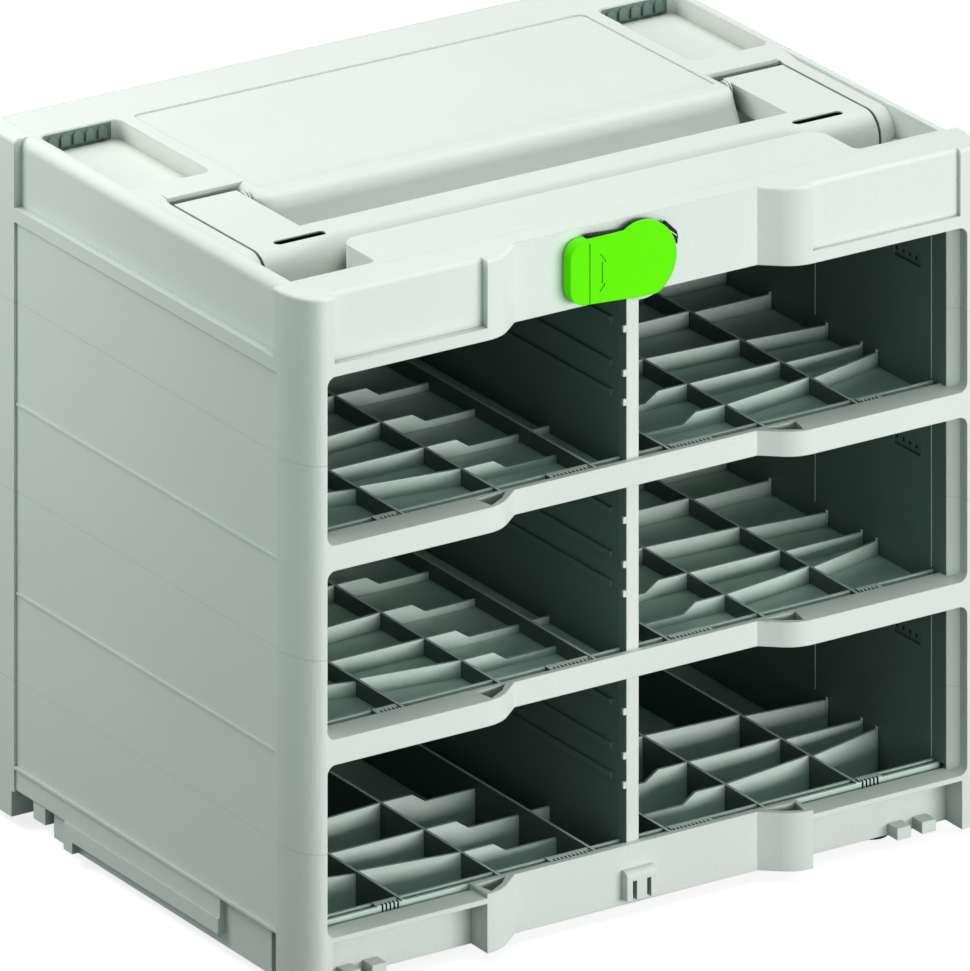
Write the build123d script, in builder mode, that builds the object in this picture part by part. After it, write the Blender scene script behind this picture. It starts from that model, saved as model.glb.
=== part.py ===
from build123d import *
from math import cos, radians, sin, tan
import os

os.makedirs("parts", exist_ok=True)

# Origin: middle of the case in plan, on the surface that the feet stand on.
# +X to the right seen from the open front, +Y to the back, +Z up. Millimetres.

# Outside of the case
case_width = 396.0
case_depth = 296.0
foot_height = 6.5
sill_height = 28.2
cell_height = 80.1
bar_height = 12.05
head_height = 37.9
row_count = 3
shell_wall = 3.0
seam_above_floor = 38.7
side_top_round = 5.0
rear_top_round = 2.5
front_top_round = 1.5
badge_top_round = 2.0

# Front face: flat at the sides, set back in the middle, a rounded bulge on each side
recess_depth = 13.0
recess_inset = 128.0
flank_angle = 40.0
bulge_radius = 22.0
corner_flat = 0.55
corner_run_y = 25.0
rear_corner_radius = 10.0
post_width = 13.55
opening_corner_radius = 4.5
bar_wall = 3.2
pillar_wall = 3.0
lip_setback = 6.0
lip_depth = 5.0
lip_width = 5.0
bulge_hole_depth = 10.5

# Fields on the two sides
side_field_front = 24.4
side_field_back = 33.0
side_field_depth = 1.45
side_field_bottom = 25.4
side_field_top_gap = 40.0
side_rib_width = 1.4
side_rib_proud = 0.6
upper_field_drop = 33.0
upper_field_depth = 4.0
upper_field_shift = 2.6

# Bare badge fields on the head
badge_inner_margin = 0.4
badge_outer_margin = 4.0
badge_drop = 32.0
badge_depth_left = 4.6
badge_depth_right = 2.4

# Lower edge of the two sides
side_lip_height = 1.5
rail_setback = 1.0
rail_bottom = 6.0
rail_step = 13.7
rail_front_gap = 51.6
rail_back_gap = 46.0
side_slot_width = 10.1
side_slot_depth = 4.0
heel_width = 14.5
heel_drop = 1.2
heel_back_shift = 2.4
heel_length = 33.0
heel_wall = 1.5
heel_tab_gap = 4.0
heel_tab_length = 11.0
heel_tab_width = 8.5
heel_tab_bottom = 5.0
heel_tab_inset = 1.5
heel_hook_length = 8.0
heel_hook_bottom = 0.4

# Liners, dividers and panels inside the case
liner_wall = 2.5
liner_rib_wall = 2.0
divider_thickness = 7.4
divider_post_depth = 7.0
divider_post_round = 0.6
slide_gap = 0.2
back_panel_depth = 3.0
ceiling_thickness = 2.5
ledge_width = 6.0
ledge_height = 2.0
wall_slot_gap = 33.0
wall_slot_length = 23.0
wall_slot_height = 7.0
wall_slot_rise = 51.0
wall_slot_depth = 1.2
guide_rise = [27.0, 41.0, 62.0]
guide_height = 3.4
guide_proud = 1.45
guide_front_gap = 5.0
guide_back_gap = 20.0

# Floor grids
shelf_slab = 4.0
base_slab = 3.0
tray_slab = 1.2
rib_wall = 1.6
long_rib_first = 21.5
long_rib_pitch = 54.75
long_rib_count = 3
low_rib_drop = 4.7
low_rib_run = 29.5
low_rib_ramp = 7.5
outer_rib_drop = 1.2
rail_drop = 0.4
front_rail_gap = 22.0
short_rib_gaps = [26.0, 84.0]
slanted_rib_gaps = [(50.0, 50.0, 58.0, 70.0), (83.0, 83.0, 83.0, 83.0),
                    (122.0, 122.0, 118.5, 113.5)]
straight_rib_first = 163.5
straight_rib_pitch = 39.75
straight_rib_count = 3
clip_start_gap = 2.0
clip_lengths = [23.5, 13.0]
clip_tooth = 2.2
clip_slot_width = 1.0
clip_slot_depth = 2.4

# Top deck
rim_width = 7.0
deck_floor_drop = 31.5
deck_wall = 3.0
strip_width = 8.5
strip_drop = 1.5
strip_ramp = 12.0
handle_side_gap = 1.5
arm_width = 35.5
arm_gap = 3.0
front_rim_depth = 28.5
tongue_depth = 34.1
tongue_corner_radius = 10.0
tongue_foot_radius = 4.0
grip_gap = 2.4
bar_depth = 29.0
finger_gap = 20.5
platform_run = 17.0
platform_round = 5.0
platform_corner_radius = 10.0
hinge_setback = 13.0
arm_tail = 5.0
arm_tail_gap = 5.0
cross_rib_depth = 19.5
pocket_wall = 3.0
pocket_ledge_drop = 14.5
tray_inner_gap = 1.5
tray_side_wall = 1.0
tray_rear_gap = 34.5
tray_depth = 9.5
tray_corner_radius = 5.0
plate_recess_depth = 0.8
plate_side_gap = 6.5
plate_front_gap = 10.5
plate_rear_gap = 35.0
plate_corner_radius = 4.0

# Carry handle
arm_thickness = 12.0
grip_height = 22.0
handle_round = 12.0
arm_tail_round = 4.0
handle_inner_round = 2.0
hinge_drop = 8.5
hinge_pin_radius = 3.0
hinge_clearance = 0.05
hinge_pin_seat = 3.0
hinge_collar_radius = 5.2
hinge_collar_gap = 0.3
handle_slot_length = 29.0
handle_slot_width = 5.5
handle_slot_depth = 15.0
handle_slot_inset = 27.0
handle_slot_back = 14.0

# Front latch
latch_drop = 19.7
latch_stand = 7.0
latch_round_radius = 18.7
latch_arm_reach = 42.5
latch_grip_width = 11.1
latch_arm_up = 15.6
latch_arm_down = 14.9
latch_round_down = 17.3
latch_plate = 2.6
latch_grip_depth = 6.6
latch_corner_radius = 8.0
latch_hub_radius = 7.0
latch_backing = 2.4
latch_backing_margin = 1.2
latch_blind = 1.3
spindle_radius = 4.0
spindle_clearance = 0.05
spindle_head_radius = 6.5
spindle_head = 2.0
bush_radius = 13.0
bush_depth = 1.4
running_gap = 0.3
ear_points = [(12.0, 10.0), (14.4, 15.1), (20.6, 9.2), (21.2, 6.6), (20.8, 3.3), (15.0, 3.0)]
lug_radius = 22.5
lug_shift = 3.0
lug_rise = 1.0

# Base
base_pocket_gap = 0.5
base_pocket_end = 3.0
base_front_wall = 1.8
sill_strip_width = 13.0
sill_strip_drop = 2.0
sill_strip_wall = 2.5
base_block_insets = [46.6, 32.0]
base_block_width = 8.0
base_block_height = 5.6
catch_half_width = 8.5
catch_bottom = 3.2
catch_top = 17.0
catch_depth = 5.0
catch_gap_x = 2.9
catch_gap_width = 2.4
catch_gap_low = 3.0
catch_gap_high = 12.5
foot_radius = 9.0
foot_inset_x = 47.0
foot_front_inset = 34.0
foot_rear_inset = 36.0
foot_edge_round = 1.0

# Heights and places that follow from the sizes above
half_width = case_width / 2
half_depth = case_depth / 2
front_y = -half_depth
recess_y = front_y + recess_depth
recess_half_width = half_width - recess_inset
corner_run_x = post_width - corner_flat
base_z = foot_height
pitch = cell_height + bar_height
case_top = base_z + sill_height + row_count * pitch - bar_height + head_height
head_z = case_top - head_height
row_top = [base_z + sill_height + pitch * row for row in range(row_count)]
row_base = [top - bar_height for top in row_top]
sill_z = row_top[0]
strip_z = sill_z - sill_strip_drop
seams = [base_z] + [top + seam_above_floor for top in row_top] + [case_top]
opening_half_width = half_width - post_width
cell_wall_x = opening_half_width - lip_width
inner_x = half_width - upper_field_depth - shell_wall
inner_back_y = half_depth - shell_wall
bar_back_y = recess_y + bar_wall
field_x = half_width - side_field_depth
field_y0 = front_y + side_field_front
field_y1 = half_depth - side_field_back
field_z0 = base_z + side_field_bottom
field_z1 = case_top - side_field_top_gap
low_side_x = half_width - upper_field_depth
upper_z0 = case_top - upper_field_drop
lip_y = front_y + lip_setback
liner_front_y = lip_y + lip_depth
panel_y = inner_back_y - back_panel_depth
cell_back_y = panel_y - slide_gap
grid_front_y = bar_back_y + slide_gap
divider_x = divider_thickness / 2
post_back_y = bar_back_y + divider_post_depth
grid_inner_x = divider_x + slide_gap
grid_outer_x = cell_wall_x - slide_gap
long_rib_x = [long_rib_first + long_rib_pitch * count for count in range(long_rib_count)]
front_rail_y = front_y + front_rail_gap
deck_x = half_width - upper_field_depth - rim_width
deck_front_y = front_y + front_rim_depth
deck_floor_z = case_top - deck_floor_drop
deck_base_z = deck_floor_z - deck_wall
ceiling_z = deck_base_z - ceiling_thickness
storey_z = [base_z + base_slab] + row_base[1:] + [ceiling_z]
well_half_width = deck_x - strip_width
handle_half_width = well_half_width - handle_side_gap
arm_inner_x = handle_half_width - arm_width
platform_half_width = arm_inner_x - arm_gap
tongue_back = deck_front_y + tongue_depth
bar_front = tongue_back + grip_gap
bar_back = bar_front + bar_depth
platform_foot = bar_back + finger_gap
platform_front = platform_foot + platform_run
hinge_y = platform_front + hinge_setback
arm_back = hinge_y + arm_tail
well_back = arm_back + arm_tail_gap
hinge_z = case_top - hinge_drop
handle_top_z = case_top - strip_drop
tray_front = well_back + cross_rib_depth
tray_back = half_depth - tray_rear_gap
tray_inner = platform_half_width + tray_inner_gap
latch_z = case_top - latch_drop
latch_front_y = recess_y - latch_stand
eps = 1.0


def keep(piece, label):
    """Name a finished piece and write its file."""
    piece.part.label = label
    export_step(piece.part, f"parts/{label}.step")


def block(x0, x1, y0, y1, z0, z1, mode=Mode.ADD):
    """A block given by its range along X, Y and Z."""
    with Locations(((x0 + x1) / 2, (y0 + y1) / 2, (z0 + z1) / 2)):
        Box(abs(x1 - x0), abs(y1 - y0), abs(z1 - z0), mode=mode)


def pair(x0, x1, y0, y1, z0, z1, mode=Mode.ADD):
    """The same block on the left and on the right."""
    for side in (-1, 1):
        block(side * x0, side * x1, y0, y1, z0, z1, mode=mode)


def front_points():
    """Corner, flank end and arc end of the right-hand bulge, in plan."""
    arc_drop = bulge_radius * (1 - cos(radians(flank_angle)))
    arc_run = bulge_radius * sin(radians(flank_angle))
    flank_drop = recess_depth - arc_drop
    flank_run = flank_drop / tan(radians(flank_angle))
    corner = (recess_half_width, recess_y)
    flank_end = (recess_half_width + flank_run, recess_y - flank_drop)
    arc_end = (recess_half_width + flank_run + arc_run, front_y)
    return corner, flank_end, arc_end


def front_band(outer_x, back_y):
    """Plan of a front bar: stepped front line, straight back, cut at outer_x."""
    corner, flank_end, arc_end = front_points()
    with BuildSketch(Plane.XY) as band:
        with BuildLine():
            Line((0, recess_y), corner)
            flank = Line(corner, flank_end)
            TangentArc(flank_end, arc_end, tangent=flank % 1)
            Polyline(arc_end, (outer_x, front_y), (outer_x, back_y), (0, back_y))
            mirror(about=Plane.YZ)
        make_face()
    return band.sketch


def case_plan():
    """Plan of the case: stepped front, elliptic front corners, round rear corners."""
    corner, flank_end, arc_end = front_points()
    corner_y = front_y + corner_run_y
    side_end = (half_width, half_depth - rear_corner_radius)
    rear_start = (half_width - rear_corner_radius, half_depth)
    with BuildSketch(Plane.XY) as plan:
        with BuildLine():
            Line((0, recess_y), corner)
            flank = Line(corner, flank_end)
            TangentArc(flank_end, arc_end, tangent=flank % 1)
            Line(arc_end, (half_width - corner_run_x, front_y))
            EllipticalCenterArc((half_width - corner_run_x, corner_y), corner_run_x,
                                corner_run_y, start_angle=270, arc_size=90)
            Line((half_width, corner_y), side_end)
            TangentArc(side_end, rear_start, tangent=(0, 1))
            Line(rear_start, (0, half_depth))
            mirror(about=Plane.YZ)
        make_face()
    return plan.sketch


plan_sketch = case_plan()
bar_sketch = front_band(opening_half_width + eps, bar_back_y)
bulge_end_x = front_points()[2][0]
badge_inner_x = bulge_end_x + badge_inner_margin
badge_outer_x = opening_half_width - badge_outer_margin
base_pocket_x0 = bulge_end_x + base_pocket_gap
base_pocket_x1 = opening_half_width - base_pocket_end


def raise_plan(sketch, z0, z1):
    """Extrude a plan between two heights."""
    extrude(to_extrude=Pos(0, 0, z0) * sketch, amount=z1 - z0, dir=(0, 0, 1))


def cut_side_field(z0, z1):
    """Set back the long field of both sides, over one section's height."""
    pair(field_x, half_width + eps, field_y0, field_y1, max(z0, field_z0), min(z1, field_z1),
         mode=Mode.SUBTRACT)


def cut_pillar_cores(z0, z1):
    """Hollow the two front pillars."""
    pair(opening_half_width + pillar_wall, half_width - corner_run_x / 2,
         front_y + 2 * pillar_wall, field_y0 - pillar_wall, z0, z1, mode=Mode.SUBTRACT)


def cut_bulge_holes(z_top):
    """Cut the four-sided hole behind each bulge, from the top of a bar down."""
    corner, flank_end, arc_end = front_points()
    wall = bar_wall * 0.75
    points = [(corner[0] + 2 * wall, recess_y + bar_wall / 4),
              (arc_end[0] - wall / 2, recess_y),
              (arc_end[0] - 1.5 * wall, front_y + wall),
              (flank_end[0] + wall / 3, flank_end[1] + 1.2 * wall)]
    for side in (-1, 1):
        with BuildSketch(Plane.XY.offset(z_top - bulge_hole_depth)) as hole:
            with BuildLine():
                Polyline([(side * x, y) for x, y in points], close=True)
            make_face()
        extrude(to_extrude=hole.sketch, amount=bulge_hole_depth + eps, dir=(0, 0, 1),
                mode=Mode.SUBTRACT)


def near(value, target):
    """True where two lengths are the same but for rounding."""
    return abs(value - target) < 0.01


def round_opening_corners(piece, heights):
    """Round the corners of the openings, seen from the front."""
    corners = [edge for edge in piece.edges().filter_by(Axis.Y)
               if near(abs(edge.center().X), opening_half_width) and edge.center().Y < lip_y
               and any(near(edge.center().Z, z) for z in heights)]
    fillet(corners, opening_corner_radius)


def latch_plane(y):
    """Plane across the latch axis at a depth, its normal towards the front."""
    return Plane((0, y, latch_z), x_dir=(1, 0, 0), z_dir=(0, -1, 0))


def across(x, y, z):
    """Plane whose normal points along +X, for a pin or bore across the case."""
    return Plane((x, y, z), x_dir=(0, 1, 0), z_dir=(1, 0, 0))


# Plan of the slanted lips between the pillars and the liners
with BuildSketch() as lip_plan:
    for side in (-1, 1):
        Polygon((side * opening_half_width, lip_y), (side * cell_wall_x, liner_front_y),
                (side * (opening_half_width + eps), liner_front_y),
                (side * (opening_half_width + eps), lip_y))
lip_sketch = lip_plan.sketch


# Base section: floor, sill and the lowest part of the walls
heel_x = half_width - heel_width
heel_height = rail_step - heel_drop
heel_y1 = field_y1 + heel_back_shift
heel_y0 = heel_y1 - heel_length
rail_y0 = field_y0 + rail_front_gap
rail_y1 = field_y1 - rail_back_gap
with BuildPart() as base_section:
    raise_plan(plan_sketch, seams[0], seams[1])
    block(-inner_x, inner_x, field_y0, inner_back_y, base_z + base_slab, seams[1] + eps,
          mode=Mode.SUBTRACT)
    block(-opening_half_width, opening_half_width, front_y - eps, field_y0 + eps,
          sill_z, seams[1] + eps, mode=Mode.SUBTRACT)
    block(-opening_half_width, opening_half_width, bar_back_y, field_y0 + eps,
          base_z + base_slab, sill_z + eps, mode=Mode.SUBTRACT)
    pair(base_pocket_x0, opening_half_width, front_y - eps, bar_back_y + eps, strip_z,
         sill_z + eps, mode=Mode.SUBTRACT)
    pair(base_pocket_x0, base_pocket_x1, front_y - eps, bar_back_y - base_front_wall,
         base_z - eps, strip_z - sill_strip_wall, mode=Mode.SUBTRACT)
    pair(base_pocket_x0, base_pocket_x1, front_y + sill_strip_width, bar_back_y + eps,
         strip_z - sill_strip_wall / 2, sill_z, mode=Mode.SUBTRACT)
    pair(low_side_x, half_width + eps, field_y0, field_y1, base_z - eps,
         field_z0 - side_lip_height, mode=Mode.SUBTRACT)
    slot_inner_x = low_side_x - side_slot_depth
    pair(slot_inner_x - shell_wall, low_side_x, field_y0, field_y0 + side_slot_width + shell_wall,
         base_z, field_z0)
    pair(slot_inner_x, half_width, field_y0, field_y0 + side_slot_width, base_z - eps,
         field_z0 - side_lip_height, mode=Mode.SUBTRACT)
    pair(heel_x - heel_wall, low_side_x, heel_y0 - heel_wall, heel_y1 + heel_wall, base_z,
         base_z + heel_height + heel_wall)
    pair(heel_x, half_width + eps, heel_y0, heel_y1, base_z - eps, base_z + heel_height,
         mode=Mode.SUBTRACT)
    tab_y0 = heel_y0 + heel_tab_gap
    pair(half_width - heel_tab_inset - heel_tab_width, half_width - heel_tab_inset, tab_y0,
         tab_y0 + heel_tab_length, base_z + heel_tab_bottom,
         base_z + heel_height + heel_wall / 2)
    pair(half_width - heel_tab_width, half_width, rail_y1 - heel_hook_length, rail_y1,
         base_z + heel_hook_bottom, base_z + rail_bottom)
    cut_side_field(seams[0], seams[1])
    cut_pillar_cores(base_z + base_slab, seams[1] + eps)
    cut_bulge_holes(sill_z)
    raise_plan(lip_sketch, strip_z, seams[1])
    for inset in base_block_insets:
        x = half_width - inset
        pair(x - base_block_width / 2, x + base_block_width / 2, lip_y,
             bar_back_y - base_front_wall / 2, base_z, base_z + base_block_height)
    round_opening_corners(base_section, [strip_z])
keep(base_section, "base_section")


# Middle sections: walls, back and one shelf bar each
for row, label in ((1, "lower_section"), (2, "upper_section")):
    z0, z1 = seams[row], seams[row + 1]
    with BuildPart() as section:
        raise_plan(plan_sketch, z0, z1)
        block(-inner_x, inner_x, field_y0, inner_back_y, z0 - eps, z1 + eps, mode=Mode.SUBTRACT)
        block(-opening_half_width, opening_half_width, front_y - eps, field_y0 + eps,
              z0 - eps, z1 + eps, mode=Mode.SUBTRACT)
        cut_side_field(z0 - eps, z1 + eps)
        cut_pillar_cores(z0 - eps, z1 + eps)
        raise_plan(bar_sketch, row_base[row], row_top[row])
        cut_bulge_holes(row_top[row])
        raise_plan(lip_sketch, z0, z1)
        rib_z = row_base[row] + side_rib_width
        pair(field_x - eps, field_x + side_rib_proud, field_y0, field_y1,
             rib_z - side_rib_width / 2, rib_z + side_rib_width / 2)
        round_opening_corners(section, [row_base[row], row_top[row]])
    keep(section, label)


# Top section: head with its bare badge fields, rims and the highest part of the walls
with BuildPart() as top_section:
    raise_plan(plan_sketch, seams[-2], case_top)
    block(-inner_x, inner_x, field_y0, inner_back_y, seams[-2] - eps, upper_z0,
          mode=Mode.SUBTRACT)
    block(-deck_x, deck_x, deck_front_y - deck_wall, inner_back_y, seams[-2], case_top + eps,
          mode=Mode.SUBTRACT)
    block(-opening_half_width, opening_half_width, front_y - eps, field_y0 + eps,
          seams[-2] - eps, head_z, mode=Mode.SUBTRACT)
    block(-opening_half_width, opening_half_width, bar_back_y, field_y0 + eps,
          head_z - eps, case_top - deck_wall, mode=Mode.SUBTRACT)
    pair(badge_inner_x + shell_wall, badge_outer_x, front_y + badge_depth_left + shell_wall,
         bar_back_y + eps, head_z + shell_wall, case_top - deck_wall, mode=Mode.SUBTRACT)
    cut_side_field(seams[-2], case_top)
    pair(low_side_x, half_width + eps, field_y0 + upper_field_shift, field_y1, upper_z0,
         case_top + eps, mode=Mode.SUBTRACT)
    cut_pillar_cores(seams[-2] - eps, case_top - deck_wall)
    block(-badge_outer_x, -badge_inner_x, front_y - eps, front_y + badge_depth_left,
          case_top - badge_drop, case_top + eps, mode=Mode.SUBTRACT)
    block(badge_inner_x, badge_outer_x, front_y - eps, front_y + badge_depth_right,
          case_top - badge_drop, case_top + eps, mode=Mode.SUBTRACT)
    raise_plan(lip_sketch, seams[-2], head_z)
    with BuildSketch(latch_plane(bar_back_y)):
        with Locations((lug_shift, lug_rise)):
            Circle(lug_radius)
        with Locations((0, lug_radius)):
            Rectangle(4 * lug_radius, 2 * lug_radius, mode=Mode.SUBTRACT)
    extrude(amount=bar_wall)
    with Locations(latch_plane(bar_back_y + eps)):
        Cylinder(spindle_radius, recess_depth, mode=Mode.SUBTRACT)
    round_opening_corners(top_section, [head_z])
    side_edges = [edge for edge in top_section.edges().group_by(Axis.Z)[-1]
                  if near(abs(edge.center().X), low_side_x)]
    fillet(side_edges, side_top_round)
    rear_edges = [edge for edge in top_section.edges().group_by(Axis.Z)[-1]
                  if edge.center().Y > field_y1 + eps
                  and (near(edge.center().Y, half_depth) or abs(edge.center().X) > low_side_x)]
    fillet(rear_edges, rear_top_round)
    post_edges = [edge for edge in top_section.edges().group_by(Axis.Z)[-1]
                  if edge.center().Y < field_y0 and abs(edge.center().X) > badge_outer_x]
    fillet(post_edges, front_top_round)
    bulge_edges = [edge for edge in top_section.edges().group_by(Axis.Z)[-1]
                   if edge.center().Y < recess_y - eps and abs(edge.center().X) < badge_inner_x]
    fillet(bulge_edges, front_top_round)
    badge_edges = [edge for edge in top_section.edges().group_by(Axis.Z)[-1]
                   if near(edge.center().Y, front_y + badge_depth_left)
                   or near(edge.center().Y, front_y + badge_depth_right)]
    fillet(badge_edges, badge_top_round)
keep(top_section, "top_section")


# Front end of the raised platform: leaning front, round corners and a soft upper edge
with BuildPart() as platform:
    for height, end_y in ((deck_floor_z, platform_foot), (case_top, platform_front)):
        with BuildSketch(Plane.XY.offset(height)) as platform_plan:
            with Locations((0, (end_y + well_back + eps) / 2)):
                Rectangle(2 * platform_half_width, well_back + eps - end_y)
            fillet(platform_plan.vertices().group_by(Axis.Y)[0], platform_corner_radius)
    loft(ruled=True)
    platform_edges = [edge for edge in platform.edges().group_by(Axis.Z)[-1]
                      if edge.center().Y < well_back]
    fillet(platform_edges, platform_round)


# Top deck: platform, handle well, front pockets and rear trays
pocket_outer = deck_x - pocket_wall
tray_outer = deck_x - tray_side_wall
pin_x0 = platform_half_width - hinge_pin_seat
pin_x1 = well_half_width + hinge_pin_seat
with BuildSketch(Plane.YZ) as strip_side:
    with BuildLine():
        Polyline([(bar_front - eps, case_top + eps), (bar_front - eps, handle_top_z),
                  (arm_back, handle_top_z), (arm_back + strip_ramp, case_top),
                  (arm_back + strip_ramp, case_top + eps)], close=True)
    make_face()
with BuildPart() as top_deck:
    block(-deck_x, deck_x, deck_front_y - deck_wall, inner_back_y, deck_base_z, case_top)
    block(-well_half_width, well_half_width, tongue_back, well_back, deck_floor_z,
          case_top + eps, mode=Mode.SUBTRACT)
    add(platform.part)
    pair(platform_half_width, pocket_outer, deck_front_y, bar_front, deck_floor_z,
         case_top + eps, mode=Mode.SUBTRACT)
    pair(pocket_outer - eps, deck_x + eps, deck_front_y, bar_front,
         case_top - pocket_ledge_drop, case_top + eps, mode=Mode.SUBTRACT)
    for side in (-1, 1):
        extrude(to_extrude=Pos(side * (well_half_width - eps), 0, 0) * strip_side.sketch,
                amount=strip_width + 2 * eps, dir=(side, 0, 0), mode=Mode.SUBTRACT)
    strip_edges = [edge for edge in top_deck.edges().filter_by(Axis.X)
                   if near(edge.center().Y, bar_front) and near(edge.center().Z, handle_top_z)]
    fillet(strip_edges, pocket_ledge_drop - strip_drop - eps)
    pair(tray_inner, tray_outer, tray_front, tray_back, case_top - tray_depth, case_top + eps,
         mode=Mode.SUBTRACT)
    tray_edges = [edge for edge in top_deck.edges().filter_by(Axis.Z)
                  if near(abs(edge.center().X), tray_inner) or near(abs(edge.center().X), tray_outer)]
    fillet(tray_edges, tray_corner_radius)
    plate_y0 = platform_front + plate_front_gap
    plate_y1 = half_depth - plate_rear_gap
    with BuildSketch(Plane.XY.offset(case_top - plate_recess_depth)) as plate_field:
        with Locations((0, (plate_y0 + plate_y1) / 2)):
            Rectangle(2 * (platform_half_width - plate_side_gap), plate_y1 - plate_y0)
        fillet(plate_field.vertices().group_by(Axis.Y)[-1], plate_corner_radius)
    extrude(amount=plate_recess_depth + eps, mode=Mode.SUBTRACT)
    block(-platform_half_width + deck_wall, platform_half_width - deck_wall,
          platform_front + platform_corner_radius, inner_back_y - deck_wall, deck_base_z - eps,
          case_top - deck_wall, mode=Mode.SUBTRACT)
    pair(platform_half_width, pocket_outer, well_back + deck_wall, inner_back_y - deck_wall,
         deck_base_z - eps, case_top - tray_depth - deck_wall, mode=Mode.SUBTRACT)
    block(-platform_half_width + deck_wall, platform_half_width - deck_wall, deck_front_y,
          tongue_back - deck_wall, deck_base_z - eps, case_top - deck_wall, mode=Mode.SUBTRACT)
    tongue_edges = [edge for edge in top_deck.edges().filter_by(Axis.Z)
                    if near(abs(edge.center().X), platform_half_width)
                    and near(edge.center().Y, tongue_back)]
    fillet(tongue_edges, tongue_corner_radius)
    pocket_edges = [edge for edge in top_deck.edges().filter_by(Axis.Z)
                    if near(abs(edge.center().X), platform_half_width)
                    and near(edge.center().Y, deck_front_y)]
    fillet(pocket_edges, tongue_foot_radius)
    for side in (-1, 1):
        collar_x0 = platform_half_width - platform_round
        collar_x1 = arm_inner_x - hinge_collar_gap
        with Locations(across(side * (collar_x0 + collar_x1) / 2, hinge_y, hinge_z)):
            Cylinder(hinge_collar_radius, collar_x1 - collar_x0)
        with Locations(across(side * (pin_x0 + pin_x1) / 2, hinge_y, hinge_z)):
            Cylinder(hinge_pin_radius, pin_x1 - pin_x0, mode=Mode.SUBTRACT)
keep(top_deck, "top_deck")


# Ceiling over the top row
with BuildPart() as ceiling_panel:
    block(-opening_half_width + slide_gap, opening_half_width - slide_gap, grid_front_y,
          field_y0 + eps, ceiling_z, deck_base_z)
    block(-inner_x + slide_gap, inner_x - slide_gap, field_y0 + slide_gap, cell_back_y,
          ceiling_z, deck_base_z)
keep(ceiling_panel, "ceiling_panel")


# Back panel behind the cells
with BuildPart() as back_panel:
    block(-inner_x + slide_gap, inner_x - slide_gap, panel_y, inner_back_y,
          base_z + base_slab, deck_base_z)
keep(back_panel, "back_panel")


# Side liners, one per row and side
liner_outer_x = cell_wall_x + liner_wall
slot_y0 = front_y + wall_slot_gap
slot_y1 = slot_y0 + wall_slot_length
for side, side_name in ((-1, "left"), (1, "right")):
    for row in range(row_count):
        z0, z1 = storey_z[row], storey_z[row + 1]
        slot_z = row_top[row] + wall_slot_rise
        with BuildPart() as liner:
            block(side * cell_wall_x, side * liner_outer_x, liner_front_y, cell_back_y, z0, z1)
            block(side * (cell_wall_x - eps), side * (liner_outer_x + eps),
                  liner_front_y - eps, grid_front_y, z0 - eps, row_top[row], mode=Mode.SUBTRACT)
            if z1 > head_z:
                block(side * (cell_wall_x - eps), side * (liner_outer_x + eps),
                      liner_front_y - eps, grid_front_y, head_z, z1 + eps, mode=Mode.SUBTRACT)
            for y in (liner_front_y / 4, liner_front_y / -4):
                block(side * liner_outer_x, side * inner_x, y - liner_rib_wall / 2,
                      y + liner_rib_wall / 2, z0, z1)
            if row + 1 < row_count:
                block(side * (cell_wall_x - ledge_width), side * cell_wall_x, grid_front_y,
                      cell_back_y, z1 - ledge_height, z1)
            block(side * (cell_wall_x - eps), side * (cell_wall_x + wall_slot_depth),
                  slot_y0, slot_y1, slot_z, slot_z + wall_slot_height, mode=Mode.SUBTRACT)
        keep(liner, f"side_liner_{row + 1}_{side_name}")


# Dividers between left and right cells, with guide ribs and light front posts
for row in range(row_count):
    z0, z1 = storey_z[row], storey_z[row + 1]
    with BuildPart() as divider:
        block(-divider_x, divider_x, post_back_y, cell_back_y, z0, z1)
        if row + 1 < row_count:
            pair(divider_x, divider_x + ledge_width, post_back_y, cell_back_y,
                 z1 - ledge_height, z1)
        for rise in guide_rise:
            guide_z = row_top[row] + rise
            pair(divider_x - eps, divider_x + guide_proud, post_back_y + guide_front_gap,
                 cell_back_y - guide_back_gap, guide_z, guide_z + guide_height)
    keep(divider, f"divider_panel_{row + 1}")
    with BuildPart() as post:
        block(-divider_x, divider_x, bar_back_y, post_back_y, z0, z1)
        fillet(post.edges().filter_by(Axis.Z).group_by(Axis.Y)[0], divider_post_round)
    keep(post, f"divider_post_{row + 1}")


def slanted_rib(side, x0, y0, x1, y1, z0, z1):
    """A thin upright rib between two points of the plan."""
    half = rib_wall / 2
    with BuildSketch(Plane.XY.offset(z0)) as rib:
        with BuildLine():
            Polyline([(side * x0, y0 - half), (side * x1, y1 - half),
                      (side * x1, y1 + half), (side * x0, y0 + half)], close=True)
        make_face()
    extrude(to_extrude=rib.sketch, amount=z1 - z0, dir=(0, 0, 1))


def ramped_rib(side, y, z0, z1):
    """The cross rib beside the divider: low for most of its length, then a ramp up."""
    low_end = long_rib_x[0] + low_rib_run
    ramp_end = low_end + low_rib_ramp
    points = [(long_rib_x[0], z0), (long_rib_x[0], z1 - low_rib_drop), (low_end, z1 - low_rib_drop),
              (ramp_end, z1), (long_rib_x[1], z1), (long_rib_x[1], z0)]
    with BuildSketch(Plane.XZ.offset(-y - rib_wall / 2)) as rib:
        with BuildLine():
            Polyline([(side * px, pz) for px, pz in points], close=True)
        make_face()
    extrude(to_extrude=rib.sketch, amount=rib_wall, dir=(0, -1, 0))


def stop_clip(side, x0, length, z0, z1):
    """A toothed block on the front rail, which a small case comes to rest against."""
    block(side * x0, side * (x0 + length), grid_front_y + slide_gap, front_rail_y, z0, z1)
    for tooth in range(int(length / clip_tooth)):
        x = x0 + clip_tooth * (tooth + 0.5)
        block(side * (x - clip_slot_width / 2), side * (x + clip_slot_width / 2), grid_front_y,
              grid_front_y + slide_gap + clip_slot_depth, z0 + eps, z1 + eps, mode=Mode.SUBTRACT)


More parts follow.
